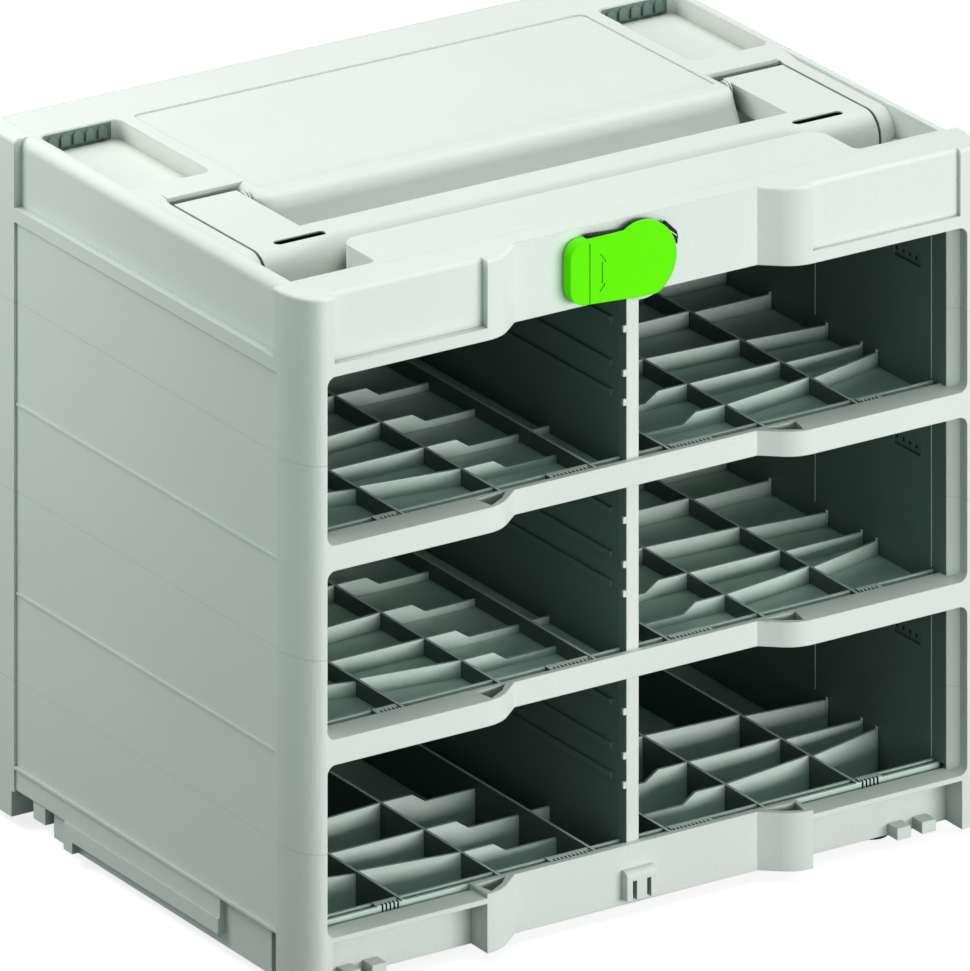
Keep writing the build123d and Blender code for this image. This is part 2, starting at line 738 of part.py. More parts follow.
# Cross ribs of a floor grid, each by its four distances from the front of the case
cross_ribs = slanted_rib_gaps + [(straight_rib_first + straight_rib_pitch * count,) * 4
                                 for count in range(straight_rib_count)]

# Floor grids, one per cell
for side, side_name in ((-1, "left"), (1, "right")):
    for row in range(row_count):
        top = row_top[row]
        if row == 0:
            slab_z0 = base_z + base_slab
            slab_z1 = slab_z0 + tray_slab
        else:
            slab_z0 = row_base[row]
            slab_z1 = slab_z0 + shelf_slab
        rib_z0 = slab_z1 - slide_gap
        with BuildPart() as grid:
            block(side * grid_inner_x, side * grid_outer_x, front_rail_y, cell_back_y,
                  slab_z0, slab_z1)
            for x in long_rib_x:
                block(side * (x - rib_wall / 2), side * (x + rib_wall / 2), grid_front_y,
                      cell_back_y, rib_z0, top)
            block(side * grid_inner_x, side * grid_outer_x, front_rail_y - rib_wall / 2,
                  front_rail_y + rib_wall / 2, slab_z0, top - rail_drop)
            if row == 0:
                block(side * grid_inner_x, side * grid_outer_x, grid_front_y,
                      grid_front_y + rib_wall, rib_z0, top - rail_drop)
            for gaps in cross_ribs if row else slanted_rib_gaps:
                inner_y, second_y, third_y, wall_y = [front_y + gap for gap in gaps]
                ramped_rib(side, inner_y, rib_z0, top)
                slanted_rib(side, long_rib_x[1], second_y, long_rib_x[2], third_y, rib_z0, top)
                slanted_rib(side, long_rib_x[2], third_y, grid_outer_x, wall_y, rib_z0,
                            top - outer_rib_drop)
                block(side * (grid_outer_x - rib_wall), side * grid_outer_x,
                      wall_y - rib_wall / 2, wall_y + rib_wall / 2, rib_z0, top)
            for gap in short_rib_gaps:
                slanted_rib(side, grid_inner_x, front_y + gap, long_rib_x[0], front_y + gap,
                            rib_z0, top - low_rib_drop)
            for x, length in zip((long_rib_x[0], long_rib_x[-1]), clip_lengths):
                stop_clip(side, x + clip_start_gap, length, rib_z0, top)
        keep(grid, f"floor_grid_{row + 1}_{side_name}")


# Carry handle: two flat arms and a front bar, bent down at its front edge
arm_z0 = handle_top_z - arm_thickness
with BuildPart() as carry_handle:
    pair(arm_inner_x, handle_half_width, bar_back - eps, arm_back, arm_z0, handle_top_z)
    block(-handle_half_width, handle_half_width, bar_front, bar_back,
          handle_top_z - grip_height, handle_top_z)
    front_edge = [edge for edge in carry_handle.edges().filter_by(Axis.X)
                  if near(edge.center().Y, bar_front) and near(edge.center().Z, handle_top_z)]
    fillet(front_edge, handle_round)
    tail_edges = [edge for edge in carry_handle.edges().filter_by(Axis.X)
                  if near(edge.center().Y, arm_back) and near(edge.center().Z, arm_z0)]
    fillet(tail_edges, arm_tail_round)
    inner_edges = [edge for edge in carry_handle.edges().filter_by(Axis.X)
                   if near(edge.center().Y, bar_back) and near(edge.center().Z, handle_top_z)]
    fillet(inner_edges, handle_inner_round)
    for side in (-1, 1):
        with BuildSketch(Plane.XY.offset(handle_top_z - handle_slot_depth)):
            with Locations((side * (handle_half_width - handle_slot_inset),
                            bar_front + handle_slot_back)):
                SlotOverall(handle_slot_length, handle_slot_width)
        extrude(amount=handle_slot_depth + eps, mode=Mode.SUBTRACT)
        with Locations(across(side * (arm_inner_x + handle_half_width) / 2, hinge_y, hinge_z)):
            Cylinder(hinge_pin_radius + hinge_clearance, handle_half_width, mode=Mode.SUBTRACT)
keep(carry_handle, "carry_handle")


# Hinge pins of the handle
for side, side_name in ((-1, "left"), (1, "right")):
    with BuildPart() as handle_pin:
        with Locations(across(side * (pin_x0 + pin_x1) / 2, hinge_y, hinge_z)):
            Cylinder(hinge_pin_radius, pin_x1 - pin_x0)
    keep(handle_pin, f"handle_pin_{side_name}")


def latch_outline(margin):
    """Round end and arm of the latch as one outline, drawn larger by a margin."""
    low = -latch_round_down - margin
    Circle(latch_round_radius + margin)
    with Locations((-latch_arm_reach / 2, (latch_arm_up - latch_arm_down) / 2)):
        RectangleRounded(latch_arm_reach + 2 * margin, latch_arm_up + latch_arm_down + 2 * margin,
                         latch_corner_radius + margin)
    Polygon((latch_corner_radius - latch_arm_reach, 0),
            (latch_corner_radius - latch_arm_reach, -latch_arm_down - margin), (0, low), (0, 0))
    with Locations((0, low - latch_round_radius)):
        Rectangle(4 * latch_round_radius, 2 * latch_round_radius, mode=Mode.SUBTRACT)


# Latch knob: round end, arm and thick grip end
plate_back_y = latch_front_y + latch_plate
hub_back_y = recess_y - bush_depth - running_gap
with BuildPart() as latch_knob:
    with BuildSketch(latch_plane(plate_back_y)):
        latch_outline(0)
    extrude(amount=latch_plate)
    with BuildSketch(latch_plane(latch_front_y + latch_grip_depth)):
        latch_outline(0)
        with Locations((latch_grip_width, 0)):
            Rectangle(2 * latch_arm_reach, 2 * latch_arm_reach, mode=Mode.SUBTRACT)
    extrude(amount=latch_grip_depth)
    with BuildSketch(latch_plane(hub_back_y)):
        Circle(latch_hub_radius)
    extrude(amount=hub_back_y - plate_back_y)
    with BuildSketch(latch_plane(hub_back_y)):
        Circle(spindle_radius + spindle_clearance)
    extrude(amount=hub_back_y - plate_back_y + latch_blind, mode=Mode.SUBTRACT)
keep(latch_knob, "latch_knob")


# Latch backing: dark plate behind the knob, with a wedge ear
with BuildPart() as latch_backing_plate:
    with BuildSketch(latch_plane(plate_back_y + latch_backing)):
        latch_outline(latch_backing_margin)
        Polygon(*ear_points)
        Circle(latch_hub_radius + spindle_clearance, mode=Mode.SUBTRACT)
        with Locations((slide_gap + latch_grip_width - 2 * latch_arm_reach, 0)):
            Rectangle(2 * latch_arm_reach, 4 * latch_arm_up, mode=Mode.SUBTRACT)
    extrude(amount=latch_backing)
keep(latch_backing_plate, "latch_backing")


# Bush that the knob turns against, on the recessed face
with BuildPart() as latch_bush:
    with BuildSketch(latch_plane(recess_y)):
        Circle(bush_radius)
        Circle(spindle_radius, mode=Mode.SUBTRACT)
    extrude(amount=bush_depth)
keep(latch_bush, "latch_bush")


# Spindle of the latch, with its head inside the case
with BuildPart() as latch_spindle:
    spindle_front_y = plate_back_y - latch_blind + running_gap
    with BuildSketch(latch_plane(bar_back_y)):
        Circle(spindle_radius)
    extrude(amount=bar_back_y - spindle_front_y)
    with BuildSketch(latch_plane(bar_back_y + spindle_head)):
        Circle(spindle_head_radius)
    extrude(amount=spindle_head)
keep(latch_spindle, "latch_spindle")


# Catch at the middle of the base, which a case below grips
with BuildPart() as base_catch:
    block(-catch_half_width, catch_half_width, recess_y - catch_depth, recess_y,
          base_z + catch_bottom, base_z + catch_top)
    catch_edge = base_catch.edges().filter_by(Axis.X).group_by(Axis.Z)[-1].sort_by(Axis.Y)[0]
    fillet(catch_edge, catch_depth * 0.6)
    pair(catch_gap_x, catch_gap_x + catch_gap_width, recess_y - catch_depth - eps,
         recess_y - eps, base_z + catch_gap_low, base_z + catch_gap_high, mode=Mode.SUBTRACT)
keep(base_catch, "base_catch")


# Feet
foot_x = half_width - foot_inset_x
for y, end_name in ((front_y + foot_front_inset, "front"), (half_depth - foot_rear_inset, "rear")):
    for side, side_name in ((-1, "left"), (1, "right")):
        with BuildPart() as foot:
            with BuildSketch(Plane.XY):
                with Locations((side * foot_x, y)):
                    Circle(foot_radius)
            extrude(amount=foot_height)
            fillet(foot.edges().group_by(Axis.Z)[0], foot_edge_round)
        keep(foot, f"foot_{end_name}_{side_name}")


# Rails low on the sides
for side, side_name in ((-1, "left"), (1, "right")):
    with BuildPart() as rail:
        block(side * low_side_x, side * half_width, rail_y0, rail_y1,
              base_z + rail_bottom, base_z + rail_step)
        block(side * low_side_x, side * (half_width - rail_setback), rail_y0, field_y1,
              base_z + rail_step, field_z0 - side_lip_height)
    keep(rail, f"side_rail_{side_name}")
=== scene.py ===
"""Looks of an open-fronted tool case rack: finishes, small mouldings, light and camera."""
import logging
import math
from collections.abc import Callable
from dataclasses import dataclass, field
from enum import Enum

import bpy
from mathutils import Matrix, Vector

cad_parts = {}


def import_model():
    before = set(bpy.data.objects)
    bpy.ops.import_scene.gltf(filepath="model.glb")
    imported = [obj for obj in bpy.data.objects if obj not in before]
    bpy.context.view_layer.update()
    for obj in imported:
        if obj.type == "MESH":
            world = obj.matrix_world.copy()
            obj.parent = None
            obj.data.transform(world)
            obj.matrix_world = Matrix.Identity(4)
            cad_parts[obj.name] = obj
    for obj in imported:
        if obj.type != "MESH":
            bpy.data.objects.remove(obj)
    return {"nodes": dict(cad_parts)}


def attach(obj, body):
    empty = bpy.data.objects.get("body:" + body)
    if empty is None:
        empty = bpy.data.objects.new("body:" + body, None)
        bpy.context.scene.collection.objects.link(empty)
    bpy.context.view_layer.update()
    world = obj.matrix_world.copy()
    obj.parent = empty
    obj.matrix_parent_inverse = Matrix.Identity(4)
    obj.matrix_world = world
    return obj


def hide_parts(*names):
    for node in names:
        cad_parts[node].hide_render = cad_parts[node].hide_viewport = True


LOG = logging.getLogger("tool_case_rack")
MM = 0.001
MERGE_GAP = 0.000002
Place = Vector | tuple[float, float, float]


class Body(Enum):
    """The moving bodies of the rack."""

    CASE = "case"
    HANDLE = "handle"
    LATCH = "latch"


class Slot(Enum):
    """The record's material slots that new pieces take their finish from."""

    SHELL = "shell_grey"
    DECK = "deck_grey"
    HANDLE = "handle_grey"
    POST = "post_grey"
    GRID = "grid_grey"
    # Dark liner finish: painted shade on cell walls, tray combs and catch plates.
    LINER_SHADE = "liner_dark"
    LATCH = "latch_green"
    # Near-black finish: the latch's dark plate, and painted shade in slots, holes and gaps.
    DARK_AND_SHADE = "latch_dark"
    STEEL = "pin_steel"
    RUBBER = "foot_rubber"


def srgb(red: int, green: int, blue: int) -> tuple[float, float, float, float]:
    """Turn a screen colour into a linear one.

    Args:
        red: Red, 0 to 255.
        green: Green, 0 to 255.
        blue: Blue, 0 to 255.

    Returns:
        The linear colour with full alpha.
    """
    def line(value: int) -> float:
        """One channel, 0 to 255, as a linear share."""
        share = value / 255
        return share / 12.92 if share <= 0.04045 else ((share + 0.055) / 1.055) ** 2.4
    return (line(red), line(green), line(blue), 1.0)


class ShaderGroups:
    """Node groups that several finishes share."""

    def __init__(self) -> None:
        """Build the groups once."""
        self.grain = self._moulded_grain()
        self.wear = self._rubbed_patches()

    def _start(self, name: str, inputs: dict[str, float],
               outputs: dict[str, str]) -> bpy.types.NodeTree:
        """Make an empty group with its sockets.

        Args:
            name: Name of the group.
            inputs: Number inputs with their usual values.
            outputs: Outputs with their socket kinds.

        Returns:
            The group's node tree.
        """
        tree = bpy.data.node_groups.new(name, "ShaderNodeTree")
        tree.interface.new_socket("Vector", in_out="INPUT", socket_type="NodeSocketVector")
        for label, value in inputs.items():
            socket = tree.interface.new_socket(label, in_out="INPUT", socket_type="NodeSocketFloat")
            socket.default_value = value
        for label, kind in outputs.items():
            tree.interface.new_socket(label, in_out="OUTPUT", socket_type=kind)
        tree.nodes.new("NodeGroupInput")
        tree.nodes.new("NodeGroupOutput")
        return tree

    def _moulded_grain(self) -> bpy.types.NodeTree:
        """Fine spark-eroded grain of moulded plastic: its height, and a mask of its pits.

        Returns:
            The group's node tree.
        """
        tree = self._start("moulded_grain", {"Scale": 1500.0, "Coarse": 0.4},
                           {"Height": "NodeSocketFloat", "Pits": "NodeSocketFloat"})
        into, out = tree.nodes["Group Input"], tree.nodes["Group Output"]
        fine = tree.nodes.new("ShaderNodeTexNoise")
        fine.inputs["Detail"].default_value = 3.0
        fine.inputs["Roughness"].default_value = 0.65
        broad = tree.nodes.new("ShaderNodeTexVoronoi")
        broad.inputs["Scale"].default_value = 620.0
        mix = tree.nodes.new("ShaderNodeMix")
        ramp = tree.nodes.new("ShaderNodeMapRange")
        ramp.inputs["From Min"].default_value = 0.35
        ramp.inputs["From Max"].default_value = 0.7
        link = tree.links.new
        link(into.outputs["Vector"], fine.inputs["Vector"])
        link(into.outputs["Scale"], fine.inputs["Scale"])
        link(into.outputs["Vector"], broad.inputs["Vector"])
        link(into.outputs["Coarse"], mix.inputs["Factor"])
        link(fine.outputs["Fac"], mix.inputs["A"])
        link(broad.outputs["Distance"], mix.inputs["B"])
        link(mix.outputs["Result"], out.inputs["Height"])
        link(fine.outputs["Fac"], ramp.inputs["Value"])
        link(ramp.outputs["Result"], out.inputs["Pits"])
        return tree

    def _rubbed_patches(self) -> bpy.types.NodeTree:
        """Large faint clouds, as where plastic is handled: a mask from 0 to 1.

        Returns:
            The group's node tree.
        """
        tree = self._start("rubbed_patches", {"Scale": 9.0}, {"Mask": "NodeSocketFloat"})
        into, out = tree.nodes["Group Input"], tree.nodes["Group Output"]
        cloud = tree.nodes.new("ShaderNodeTexNoise")
        cloud.inputs["Detail"].default_value = 2.0
        ramp = tree.nodes.new("ShaderNodeMapRange")
        ramp.inputs["From Min"].default_value = 0.35
        ramp.inputs["From Max"].default_value = 0.65
        link = tree.links.new
        link(into.outputs["Vector"], cloud.inputs["Vector"])
        link(into.outputs["Scale"], cloud.inputs["Scale"])
        link(cloud.outputs["Fac"], ramp.inputs["Value"])
        link(ramp.outputs["Result"], out.inputs["Mask"])
        return tree


@dataclass(frozen=True)
class Plastic:
    """A moulded plastic finish with grain, faint clouds, painted shade in hollows and on sideways
    faces, and softened edges.
    """

    name: str
    colour: tuple[float, float, float, float]
    shade: float = 0.97
    roughness: float = 0.55
    grain_scale: float = 1500.0
    grain_depth: float = 0.0001
    grain_strength: float = 0.35
    coarse: float = 0.3
    edge_radius: float = 0.0005
    specular: float = 0.3
    pit_shade: float = 0.93
    # Colour multiplied in as painted shade in hollows and corners.
    painted_hollow_shade: tuple[float, float, float] = (0.12, 0.18, 0.15)
    hollow_reach: float = 0.018
    hollow_start: float = 0.66
    sideways: float = 0.7
    # Colour of faces that look left or right: painted shade.
    painted_side_shade: tuple[float, float, float, float] | None = None
    parting_z: float = 0.0
    parting_pitch: float = 0.0
    parting_width: float = 0.0002
    parting_tint: tuple[float, float, float] = (0.84, 0.86, 0.85)

    def hollow_shade_mask(self, nodes: bpy.types.Nodes, link: Callable) -> bpy.types.NodeSocket:
        """Mask of the hollows and corners, where soft light hardly gets in; the colour there gets
        painted shade.

        Args:
            nodes: Nodes of the material.
            link: The material's link function.

        Returns:
            The mask's output socket, 1 in the deepest corner.
        """
        around = nodes.new("ShaderNodeAmbientOcclusion")
        around.samples = 6
        around.inputs["Distance"].default_value = self.hollow_reach
        depth = nodes.new("ShaderNodeMapRange")
        depth.inputs["From Min"].default_value = self.hollow_start
        depth.inputs["From Max"].default_value = 0.0
        link(around.outputs["AO"], depth.inputs["Value"])
        return depth.outputs["Result"]

    def facing_sideways(self, nodes: bpy.types.Nodes, link: Callable) -> bpy.types.NodeSocket:
        """Mask of the faces that look left or right, for painted shade on them.

        Args:
            nodes: Nodes of the material.
            link: The material's link function.

        Returns:
            The mask's output socket.
        """
        place = nodes.new("ShaderNodeNewGeometry")
        parts = nodes.new("ShaderNodeSeparateXYZ")
        size = nodes.new("ShaderNodeMath")
        size.operation = "ABSOLUTE"
        step = nodes.new("ShaderNodeMath")
        step.operation = "GREATER_THAN"
        step.inputs[1].default_value = self.sideways
        link(place.outputs["True Normal"], parts.inputs["Vector"])
        link(parts.outputs["X"], size.inputs[0])
        link(size.outputs[0], step.inputs[0])
        return step.outputs[0]

    def parting_line(self, nodes: bpy.types.Nodes, link: Callable) -> bpy.types.NodeSocket:
        """Mask of the fine lines where the stacked mouldings meet.

        Args:
            nodes: Nodes of the material.
            link: The material's link function.

        Returns:
            The mask's output socket.
        """
        place = nodes.new("ShaderNodeTexCoord")
        parts = nodes.new("ShaderNodeSeparateXYZ")
        shift, fold, near = (nodes.new("ShaderNodeMath") for _ in range(3))
        shift.operation, fold.operation, near.operation = "SUBTRACT", "PINGPONG", "LESS_THAN"
        shift.inputs[1].default_value = self.parting_z
        fold.inputs[1].default_value = self.parting_pitch / 2
        near.inputs[1].default_value = self.parting_width
        link(place.outputs["Object"], parts.inputs["Vector"])
        link(parts.outputs["Z"], shift.inputs[0])
        link(shift.outputs[0], fold.inputs[0])
        link(fold.outputs[0], near.inputs[0])
        return near.outputs[0]

    def blend(self, nodes: bpy.types.Nodes, kind: str = "MIX") -> bpy.types.Node:
        """Add a colour mixing node.

        Args:
            nodes: Nodes of the material.
            kind: How it mixes.

        Returns:
            The node.
        """
        mix = nodes.new("ShaderNodeMix")
        mix.data_type = "RGBA"
        mix.blend_type = kind
        return mix

    def material(self, groups: ShaderGroups) -> bpy.types.Material:
        """Build the node material.

        Args:
            groups: The shared node groups.

        Returns:
            The finished material.
        """
        made = bpy.data.materials.new(self.name)
        made.use_nodes = True
        nodes, link = made.node_tree.nodes, made.node_tree.links.new
        shader = nodes["Principled BSDF"]
        place = nodes.new("ShaderNodeTexCoord")
        grain = nodes.new("ShaderNodeGroup")
        grain.node_tree = groups.grain
        grain.inputs["Scale"].default_value = self.grain_scale
        grain.inputs["Coarse"].default_value = self.coarse
        cloud = nodes.new("ShaderNodeGroup")
        cloud.node_tree = groups.wear
        tint = self.blend(nodes)
        tint.inputs["A"].default_value = self.colour
        tint.inputs["B"].default_value = tuple(v * self.shade for v in self.colour[:3]) + (1.0,)
        deep = self.blend(nodes, "MULTIPLY")
        deep.inputs["B"].default_value = (self.pit_shade,) * 3 + (1.0,)
        # Painted shade: darken the colour in hollows and corners.
        hollow = self.blend(nodes, "MULTIPLY")
        hollow.inputs["B"].default_value = self.painted_hollow_shade + (1.0,)
        edge = nodes.new("ShaderNodeBevel")
        edge.samples = 4
        edge.inputs["Radius"].default_value = self.edge_radius
        bump = nodes.new("ShaderNodeBump")
        bump.inputs["Strength"].default_value = self.grain_strength
        bump.inputs["Distance"].default_value = self.grain_depth
        shader.inputs["Roughness"].default_value = self.roughness
        shader.inputs["Specular IOR Level"].default_value = self.specular
        link(place.outputs["Object"], grain.inputs["Vector"])
        link(place.outputs["Object"], cloud.inputs["Vector"])
        link(cloud.outputs["Mask"], tint.inputs["Factor"])
        link(tint.outputs["Result"], deep.inputs["A"])
        link(grain.outputs["Pits"], deep.inputs["Factor"])
        link(deep.outputs["Result"], hollow.inputs["A"])
        link(self.hollow_shade_mask(nodes, link), hollow.inputs["Factor"])
        last = hollow.outputs["Result"]
        # Painted shade: faces that look left or right take the darker side colour.
        if self.painted_side_shade:
            sides = self.blend(nodes)
            sides.inputs["B"].default_value = self.painted_side_shade
            link(self.facing_sideways(nodes, link), sides.inputs["Factor"])
            link(last, sides.inputs["A"])
            last = sides.outputs["Result"]
        if self.parting_pitch:
            seams = self.blend(nodes, "MULTIPLY")
            seams.inputs["B"].default_value = self.parting_tint + (1.0,)
            link(self.parting_line(nodes, link), seams.inputs["Factor"])
            link(last, seams.inputs["A"])
            last = seams.outputs["Result"]
        link(last, shader.inputs["Base Color"])
        link(grain.outputs["Height"], bump.inputs["Height"])
        link(edge.outputs["Normal"], bump.inputs["Normal"])
        link(bump.outputs["Normal"], shader.inputs["Normal"])
        return made


@dataclass(frozen=True)
class Steel:
    """Plain turned steel."""

    name: str
    bright: tuple[float, float, float, float] = srgb(176, 180, 184)
    dull: tuple[float, float, float, float] = srgb(150, 154, 158)
    roughness: float = 0.32
    cloud_scale: float = 60.0

    def material(self, groups: ShaderGroups) -> bpy.types.Material:
        """Build the node material.

        Args:
            groups: The shared node groups.

        Returns:
            The finished material.
        """
        made = bpy.data.materials.new(self.name)
        made.use_nodes = True
        nodes, link = made.node_tree.nodes, made.node_tree.links.new
        shader = nodes["Principled BSDF"]
        place = nodes.new("ShaderNodeTexCoord")
        cloud = nodes.new("ShaderNodeGroup")
        cloud.node_tree = groups.wear
        cloud.inputs["Scale"].default_value = self.cloud_scale
        tint = nodes.new("ShaderNodeMix")
        tint.data_type = "RGBA"
        tint.inputs["A"].default_value = self.bright
        tint.inputs["B"].default_value = self.dull
        shader.inputs["Metallic"].default_value = 1.0
        shader.inputs["Roughness"].default_value = self.roughness
        link(place.outputs["Object"], cloud.inputs["Vector"])
        link(cloud.outputs["Mask"], tint.inputs["Factor"])
        link(tint.outputs["Result"], shader.inputs["Base Color"])
        return made


@dataclass
class Finishes:
    """All finishes of the rack, built once."""

    groups: ShaderGroups = field(default_factory=ShaderGroups)
    made: dict[Slot, bpy.types.Material] = field(default_factory=dict)

    def build(self) -> None:
        """Build one material per slot."""
        # Liner colour: painted shade on the insides of the cells.
        liner_shade = srgb(122, 142, 135)
        recipes = {
            Slot.SHELL: Plastic("shell_plastic", srgb(228, 237, 230), grain_depth=0.00012,
                                grain_strength=0.5, painted_hollow_shade=(0.24, 0.31, 0.28),
                                parting_z=0.0734, parting_pitch=0.09215),
            Slot.DECK: Plastic("deck_plastic", srgb(230, 235, 229), grain_strength=0.25),
            Slot.HANDLE: Plastic("handle_plastic", srgb(230, 236, 230), grain_strength=0.25),
            # The side colours of posts and grid paint shade on faces that look left or right.
            Slot.POST: Plastic("post_plastic", srgb(232, 238, 231), grain_strength=0.2,
                               painted_side_shade=liner_shade),
            Slot.GRID: Plastic("grid_plastic", srgb(218, 236, 228), grain_strength=0.15,
                               edge_radius=0.0003, hollow_reach=0.007,
                               painted_side_shade=srgb(84, 97, 92)),
            Slot.LINER_SHADE: Plastic("liner_painted_shade", liner_shade, grain_strength=0.15, specular=0.12,
                                painted_hollow_shade=(0.3, 0.38, 0.35)),
            Slot.LATCH: Plastic("latch_plastic", srgb(106, 254, 0), grain_strength=0.12, shade=0.99,
                                edge_radius=0.0004, specular=0.06, painted_hollow_shade=(0.3, 0.42, 0.3),
                                hollow_reach=0.004),
            # Near-black: a dark plate, and painted shade where it fills slots, holes and gaps.
            Slot.DARK_AND_SHADE: Plastic("dark_plastic_and_painted_shade", srgb(24, 30, 28), specular=0.1),
            Slot.STEEL: Steel("pin_turned_steel"),
            Slot.RUBBER: Plastic("foot_rubber_black", srgb(34, 36, 35), roughness=0.8,
                                 specular=0.1),
        }
        for slot, recipe in recipes.items():
            self.made[slot] = recipe.material(self.groups)

    def dress(self, piece: bpy.types.Object, slot: Slot) -> None:
        """Put one finish on a whole piece.

        Args:
            piece: The piece to dress.
            slot: The finish it gets.
        """
        piece.data.materials.clear()
        piece.data.materials.append(self.made[slot])


@dataclass
class Carcass:
    """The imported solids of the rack, which keep their shapes and get their finishes."""

    nodes: dict[str, bpy.types.Object]

    def slot_of(self, name: str) -> Slot:
        """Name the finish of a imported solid.

        Args:
            name: Name of the solid.

        Returns:
            Its slot.
        """
        # Liners and inner panels get the dark liner finish as painted shade; the latch backing and
        # bush get the near-black finish.
        rules = ((("side_liner", "divider_panel", "back_panel", "ceiling_panel"), Slot.LINER_SHADE),
                 (("floor_grid",), Slot.GRID), (("divider_post",), Slot.POST),
                 (("top_deck",), Slot.DECK), (("carry_handle",), Slot.HANDLE),
                 (("handle_pin", "latch_spindle"), Slot.STEEL),
                 (("latch_backing", "latch_bush"), Slot.DARK_AND_SHADE),
                 (("latch_knob",), Slot.LATCH), (("foot_",), Slot.RUBBER))
        for starts, slot in rules:
            if name.startswith(starts):
                return slot
        return Slot.SHELL

    def dress(self, finishes: Finishes) -> None:
        """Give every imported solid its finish.

        Args:
            finishes: The rack's finishes.
        """
        for name, node in self.nodes.items():
            for index in range(len(node.data.materials)):
                node.data.materials[index] = finishes.made[self.slot_of(name)]
            if not node.data.materials:
                node.data.materials.append(finishes.made[self.slot_of(name)])
        LOG.info("dressed %d packed solids", len(self.nodes))


class Bench:
    """Modelling moves that the added pieces share. Sizes come in millimetres."""

    @staticmethod
    def clear() -> None:
        """Go to object mode with nothing selected."""
        if bpy.context.object and bpy.context.object.mode != "OBJECT":
            bpy.ops.object.mode_set(mode="OBJECT")
        bpy.ops.object.select_all(action="DESELECT")

    @staticmethod
    def settle(name: str) -> bpy.types.Object:
        """Name the new primitive and put its place, turn and scale into its mesh.

        Args:
            name: Name of the piece.

        Returns:
            The piece.
        """
        piece = bpy.context.object
        piece.name = name
        piece.data.name = name
        bpy.ops.object.transform_apply(location=True, rotation=True, scale=True)
        return piece

    @staticmethod
    def bar(name: str, low: Place, high: Place, turn: float = 0.0) -> bpy.types.Object:
        """Add a block between two corners.

        Args:
            name: Name of the block.
            low: Its lowest corner.
            high: Its highest corner.
            turn: Its turn about its own Y axis, in radians.

        Returns:
            The block.
        """
        Bench.clear()
        low, high = Vector(low), Vector(high)
        bpy.ops.mesh.primitive_cube_add(size=1.0, location=(low + high) / 2 * MM,
                                        rotation=(0.0, turn, 0.0), scale=(high - low) * MM)
        return Bench.settle(name)

    @staticmethod
    def soften(piece: bpy.types.Object, width: float, wanted: Callable[[Vector, Vector], bool],
               segments: int = 2) -> None:
        """Bevel the edges that a test picks, in edit mode.

        Args:
            piece: The piece to shape.
            width: Width of the bevel.
            wanted: Test of an edge's middle point and direction, in millimetres.
            segments: Steps of the bevel.
        """
        Bench.clear()
        piece.select_set(True)
        bpy.context.view_layer.objects.active = piece
        bpy.context.tool_settings.mesh_select_mode = (False, True, False)
        bpy.ops.object.mode_set(mode="EDIT")
        bpy.ops.mesh.select_all(action="DESELECT")
        bpy.ops.object.mode_set(mode="OBJECT")
        for edge in piece.data.edges:
            start, end = (piece.data.vertices[index].co / MM for index in edge.vertices)
            edge.select = wanted((start + end) / 2, (end - start).normalized())
        bpy.ops.object.mode_set(mode="EDIT")
        bpy.ops.mesh.bevel(offset=width * MM, segments=segments, affect="EDGES")
        bpy.ops.object.mode_set(mode="OBJECT")

    @staticmethod
    def copy(piece: bpy.types.Object, name: str, shift: Place) -> bpy.types.Object:
        """Copy a piece with its own mesh.

        Args:
            piece: The piece to copy.
            name: Name of the copy.
            shift: How far the copy is moved, in millimetres.

        Returns:
            The copy.
        """
        twin = bpy.data.objects.new(name, piece.data.copy())
        twin.data.name = name
        bpy.context.scene.collection.objects.link(twin)
        twin.data.transform(Matrix.Translation(Vector(shift) * MM))
        return twin

    @staticmethod
    def merged_copy(solid: bpy.types.Object, name: str) -> bpy.types.Object:
        """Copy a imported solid, merge its loose triangles and drop its stored normals.

        Args:
            solid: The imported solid, which stays as it is.
            name: Name of the copy.

        Returns:
            The copy.
        """
        piece = Bench.copy(solid, name, (0.0, 0.0, 0.0))
        Bench.clear()
        piece.select_set(True)
        bpy.context.view_layer.objects.active = piece
        bpy.ops.object.mode_set(mode="EDIT")
        bpy.ops.mesh.select_all(action="SELECT")
        bpy.ops.mesh.remove_doubles(threshold=MERGE_GAP)
        bpy.ops.mesh.select_all(action="DESELECT")
        bpy.ops.object.mode_set(mode="OBJECT")
        bpy.ops.mesh.customdata_custom_splitnormals_clear()
        return piece

    @staticmethod
    def weld(pieces: list[bpy.types.Object], name: str) -> bpy.types.Object:
        """Join pieces into the first one.

        Args:
            pieces: The pieces.
            name: Name of what they become.

        Returns:
            The joined piece.
        """
        Bench.clear()
        for piece in pieces:
            piece.select_set(True)
        bpy.context.view_layer.objects.active = pieces[0]
        bpy.ops.object.join()
        pieces[0].name = name
        return pieces[0]

    @staticmethod
    def smooth(piece: bpy.types.Object, angle: float = 35.0) -> None:
        """Shade smooth, but keep the sharper edges.

        Args:
            piece: The piece to shade.
            angle: The least angle of an edge that stays sharp, in degrees.
        """
        Bench.clear()
        piece.select_set(True)
        bpy.context.view_layer.objects.active = piece
        bpy.ops.object.shade_smooth_by_angle(angle=math.radians(angle))


@dataclass
class Trim:
    """Base of the sub-assemblies: dresses a piece in its slot's finish and lets it ride."""

    finishes: Finishes

    def fit(self, piece: bpy.types.Object, slot: Slot, body: Body) -> bpy.types.Object:
        """Give a piece its slot's finish and its body.

        Args:
            piece: The piece.
            slot: Its finish.
            body: The body that it rides on.

        Returns:
            The same piece.
        """
        self.finishes.dress(piece, slot)
        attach(piece, body.value)
        LOG.info("made %s", piece.name)
        return piece


